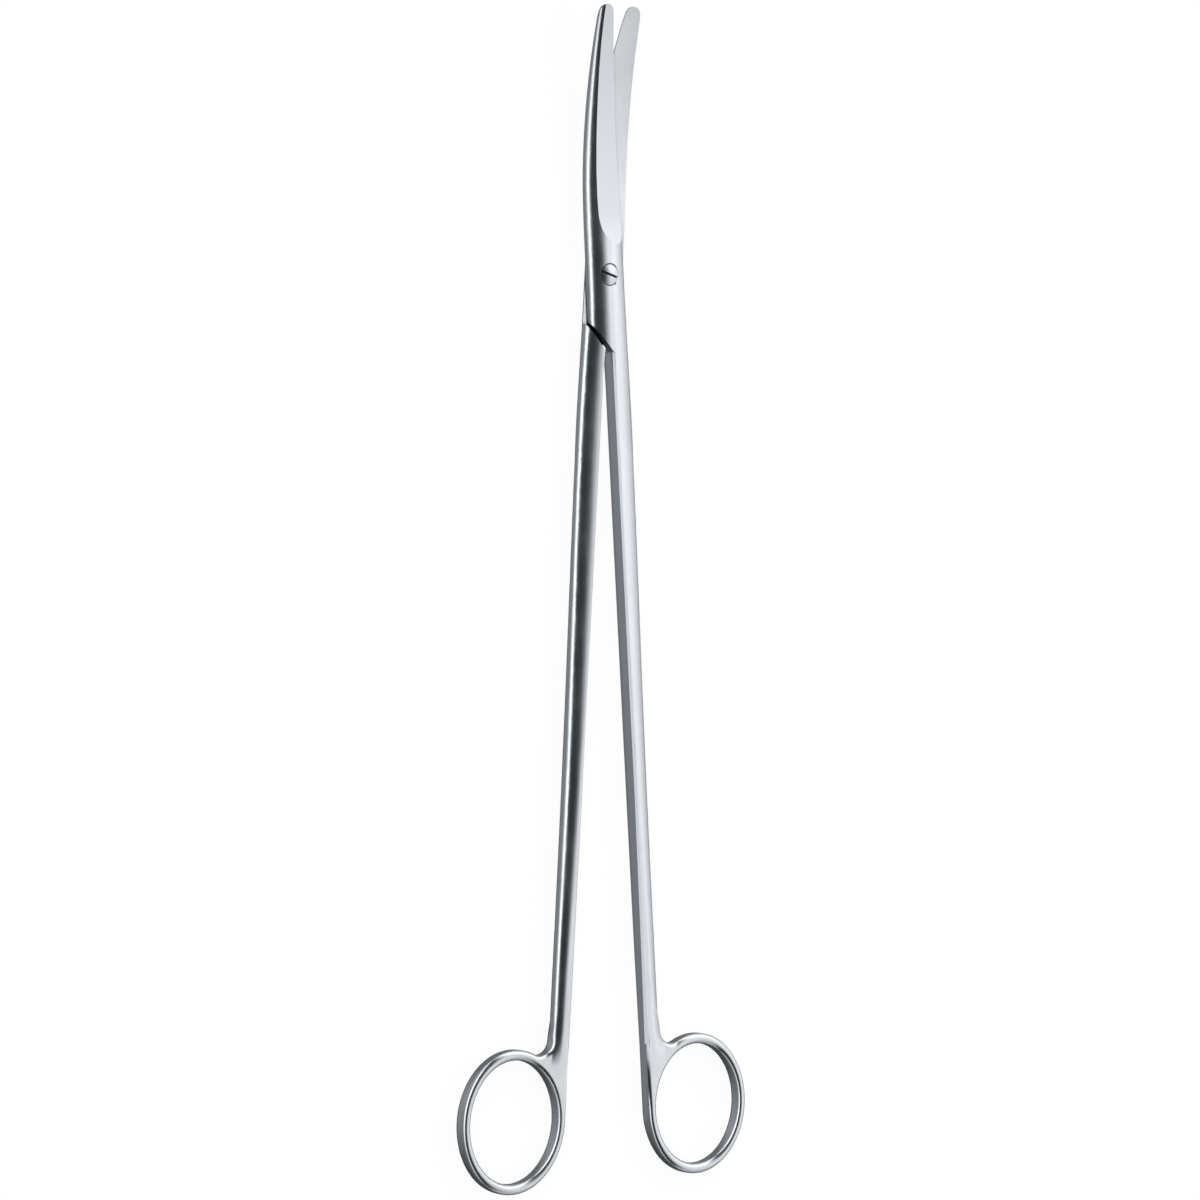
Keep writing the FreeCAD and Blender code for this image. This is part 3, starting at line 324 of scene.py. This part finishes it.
def ground_facet(p, sign):
    """Miss and way out of the facet that a wheel ground along the blade."""
    x, y, z = p
    flat = Vector((y, z * math.cos(FACET_SLOPE) + x * math.sin(FACET_SLOPE)))
    centre, radius, wheel = FACETS[sign]
    if y > FACET_POINTS[0][0]:
        way = (centre - flat) * sign
        miss = abs(way.length - radius)
    else:
        way = wheel - flat
        miss = abs(way.length - WHEEL_RADIUS)
    normal = Vector((way.y * math.sin(FACET_SLOPE), way.x, way.y * math.cos(FACET_SLOPE)))
    return miss, normal


def oval(p, half_width, half_length):
    """How far a point lies outside an oval, and the way out of it."""
    t = math.atan2(p.y * half_width, p.x * half_length)
    for step in range(6):
        x, y = half_width * math.cos(t), half_length * math.sin(t)
        dx, dy = -half_width * math.sin(t), half_length * math.cos(t)
        slip = (x - p.x) * dx + (y - p.y) * dy
        bend = dx * dx + dy * dy - (x - p.x) * x - (y - p.y) * y
        t -= slip / bend
    way = Vector((half_length * math.cos(t), half_width * math.sin(t))).normalized()
    return (p - Vector((half_width * math.cos(t), half_length * math.sin(t)))).dot(way), way


OUTER = (RING_HOLE[0] + RING_WIRE, RING_HOLE[1] + RING_WIRE)
low, high = RING_CENTRE[1], -160.0
for step in range(40):  # the place where the crotch's arc touches both the shank and the ring
    crotch_place = (low + high) / 2
    spot = Vector((SHANK_SIDE + CROTCH - RING_CENTRE[0], crotch_place - RING_CENTRE[1]))
    if oval(spot, *OUTER)[0] < CROTCH:
        low = crotch_place
    else:
        high = crotch_place


def ring_outlines(p):
    """Depth inside each outline of the ring and web, and the way out, for a point in plan."""
    spot = p - Vector(RING_CENTRE)
    out, way = oval(spot, *OUTER)
    yield -out, way
    out, way = oval(spot, *RING_HOLE)
    yield out, -way
    if p.y > RING_CENTRE[1] - 0.01:
        yield p.x - WALL_GAP, Vector((-1, 0))
        yield SHANK_SIDE - p.x, Vector((1, 0))
        way = Vector((SHANK_SIDE + CROTCH, crotch_place)) - p
        yield way.length - CROTCH, way.normalized()


FAR = 9.0


def ring_surface(p, sign):
    """Miss and normal of the ring's rounded sides for each outline."""
    x, y, z = p
    over = abs(z - LAYER) - (RING_DEPTH - RING_ROUNDING)
    for depth, way in ring_outlines(Vector((x * sign, y))):
        if over <= 0:
            miss, side, up = abs(depth), 1.0, 0.0
        else:
            reach = math.hypot(RING_ROUNDING - depth, over)
            miss = abs(reach - RING_ROUNDING) if depth < RING_ROUNDING + 0.05 else FAR
            side, up = (RING_ROUNDING - depth) / max(reach, 1e-6), over / max(reach, 1e-6)
        yield miss, Vector((way.x * side * sign, way.y * side, math.copysign(up, z - LAYER)))


def surfaces(p, sign):
    """Name, miss and way out of each known surface that may pass near a point."""
    if p.y > -168:
        yield ("form",) + outer_form(p)
    if p.y > -20:
        yield ("meeting",) + meeting_face(p, sign)
    if p.y > -6:
        yield ("facet",) + ground_facet(p, sign)
    if p.y < -150:
        for number, found in enumerate(ring_surface(p, sign)):
            yield ("ring" + str(number),) + found


def soft_step(t):
    """0 to 1 with soft ends, as t goes from 0 to 1."""
    t = min(1.0, max(0.0, t))
    return t * t * (3 - 2 * t)


def nearest_ring_normal(p, facing, sign, otherwise):
    """The normal of the ring surface that lies nearest and faces much the same way."""
    nearest = FAR
    for miss, normal in ring_surface(p, sign):
        if miss < nearest and normal.length > 1e-6 and normal.normalized().dot(facing) > 0.7:
            otherwise, nearest = normal.normalized(), miss
    return otherwise


def wall_edge(points, centre, facing, sign):
    """Normals at the inner wall's edge: the bevel ends just above the ring, and the ring's
    rounding grows out of a sharp edge there."""
    growth = 16.0
    upright = Vector((0, 0, math.copysign(1, facing.z)))
    flat = Vector((-sign, 0, 0)) if abs(facing.z) < 0.6 else upright
    if centre.y > RING_START:
        return [(upright - Vector((sign, 0, 0))).normalized()] * len(points)
    normals = []
    for p in points:
        share = soft_step((RING_START - p.y) / growth)
        full = nearest_ring_normal(p, facing, sign, flat)
        normals.append((flat * (1 - share) + full * share).normalized())
    return normals


def above_ring(points, facing, sign):
    """Normals where the shank's rounded side runs out into the ring's flat web: the shank's
    own above, the web's below, with a soft change between."""
    level = abs(facing.z) > 0.9999
    normals = []
    for p in points:
        own = outer_form(p)[1].normalized()
        web = facing if level else nearest_ring_normal(p, facing, sign, facing)
        share = soft_step((-162.0 - p.y) / 9.0)
        aside = soft_step((p.x * sign - 4.1) / 1.6) * soft_step((-164.0 - p.y) / 3.0)
        share = max(share, aside)
        normals.append((own * (1 - share) + web * share).normalized())
    return normals


def on_surface(points, centre, facing, sign):
    """The true normals at a face's corners, where it lies on a known curved surface, or else
    None. The solids' shanks stray up to 0.1 mm from the formula, so they get more room."""
    across = centre.x * sign
    if -184 < centre.y < CROSSING[1] and across < 1.7 and facing.x * sign < -0.05:
        if abs(facing.z) < 0.02:
            return [Vector((-sign, 0, 0))] * len(points)
        if centre.y < RING_START or abs(facing.z) < 0.8:
            return wall_edge(points, centre, facing, sign)
    if CROSSING[0] < centre.y < CROSSING[1] and across < 6.0 and abs(facing.z) > 0.15:
        return above_ring(points, facing, sign)
    if abs(facing.z) > 0.999997:
        return [facing] * len(points)
    room = 0.12 if -150 < centre.y < -20 else 0.0
    best, least = None, 0.06 + room
    for name, miss, normal in surfaces(centre, sign):
        if miss < least and normal.length > 1e-6 and normal.normalized().dot(facing) > 0.94:
            best, least = name, miss
    if best is None:
        return None
    normals = []
    for p in points:
        at_corner = {name: (miss, normal) for name, miss, normal in surfaces(p, sign)}
        if best not in at_corner:
            return None
        miss, normal = at_corner[best]
        normals.append(normal.normalized())
        if miss > 0.1 + room or normals[-1].dot(facing) < 0.88:
            return None
    return normals


def true_normals(mesh, sign):
    """Gives each corner of the half the normal of the surface that it was forged or ground to,
    so that reflections run smoothly over the facets. Faces on no known surface share normals
    with the neighbours that face much the same way."""
    half_turn = Matrix.Rotation(math.radians(-sign * OPENING / 2), 3, "Z")
    back_turn = half_turn.transposed()
    places = [half_turn @ (vertex.co * 1000) for vertex in mesh.vertices]
    found = {}
    facings, areas = [], []
    around = [[] for vertex in mesh.vertices]
    for face in mesh.polygons:
        facing = half_turn @ face.normal
        facings.append(facing)
        areas.append(face.area)
        corners = [places[i] for i in face.vertices]
        centre = (corners[0] + corners[1] + corners[2]) / 3
        normals = on_surface(corners, centre, facing, sign)
        if normals is not None:
            for loop, normal in zip(face.loop_indices, normals):
                found[loop] = normal
        for i in face.vertices:
            around[i].append(face.index)
    custom = [None] * len(mesh.loops)
    for face in mesh.polygons:
        for loop, i in zip(face.loop_indices, face.vertices):
            normal = found.get(loop)
            if normal is None:
                normal = Vector()
                for other in around[i]:
                    if facings[other].dot(facings[face.index]) > 0.94:
                        normal += facings[other] * areas[other]
            custom[loop] = back_turn @ normal.normalized()
    mesh.polygons.foreach_set("use_smooth", [True] * len(mesh.polygons))
    mesh.normals_split_custom_set([tuple(n) for n in custom])


def merged_copy(node_name, piece_name, sign):
    """A copy of the half's own mesh, joined at its edges. Its long facets are cut where the
    shank runs out into the ring, so that the soft change of normals has corners to run over."""
    along = (-148, -152, -156, -160, -163, -165.5, -168, -170.5, -173)
    across = (1.12, 1.8, 2.4, 3.1, 3.8, 4.4, 5.0, 5.6, 6.0)
    form = bmesh.new()
    form.from_mesh(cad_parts[node_name].data)
    bmesh.ops.remove_doubles(form, verts=form.verts, dist=1e-6)
    lean = Matrix.Rotation(math.radians(sign * OPENING / 2), 3, "Z")
    cuts = [(Vector((0, 1, 0)), place) for place in along]
    cuts += [(Vector((sign, 0, 0)), place) for place in across]
    for way, place in cuts:
        faces = [face for face in form.faces
                 if -0.176 < (lean.transposed() @ face.calc_center_median()).y < -0.140]
        edges = list({edge for face in faces for edge in face.edges})
        corners = list({corner for face in faces for corner in face.verts})
        bmesh.ops.bisect_plane(form, geom=faces + edges + corners, dist=1e-7,
                               plane_no=lean @ way, plane_co=lean @ (way * place / 1000))
    bmesh.ops.triangulate(form, faces=form.faces)
    mesh = bpy.data.meshes.new(piece_name)
    form.to_mesh(mesh)
    form.free()
    piece = bpy.data.objects.new(piece_name, mesh)
    bpy.context.scene.collection.objects.link(piece)
    return piece


steel = polished_steel(
    "satin_polished_stainless_steel", "#D6D9DD", 0.21, across=0.45, along=9.0, depth=0.003)
for node_name, piece_name, body, sign in (("front_half", "front_half_forging", "front", 1),
                                          ("back_half", "back_half_forging", "back", -1)):
    piece = merged_copy(node_name, piece_name, sign)
    true_normals(piece.data, sign)
    piece.data.materials.append(steel)
    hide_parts(node_name)
    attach(piece, body)
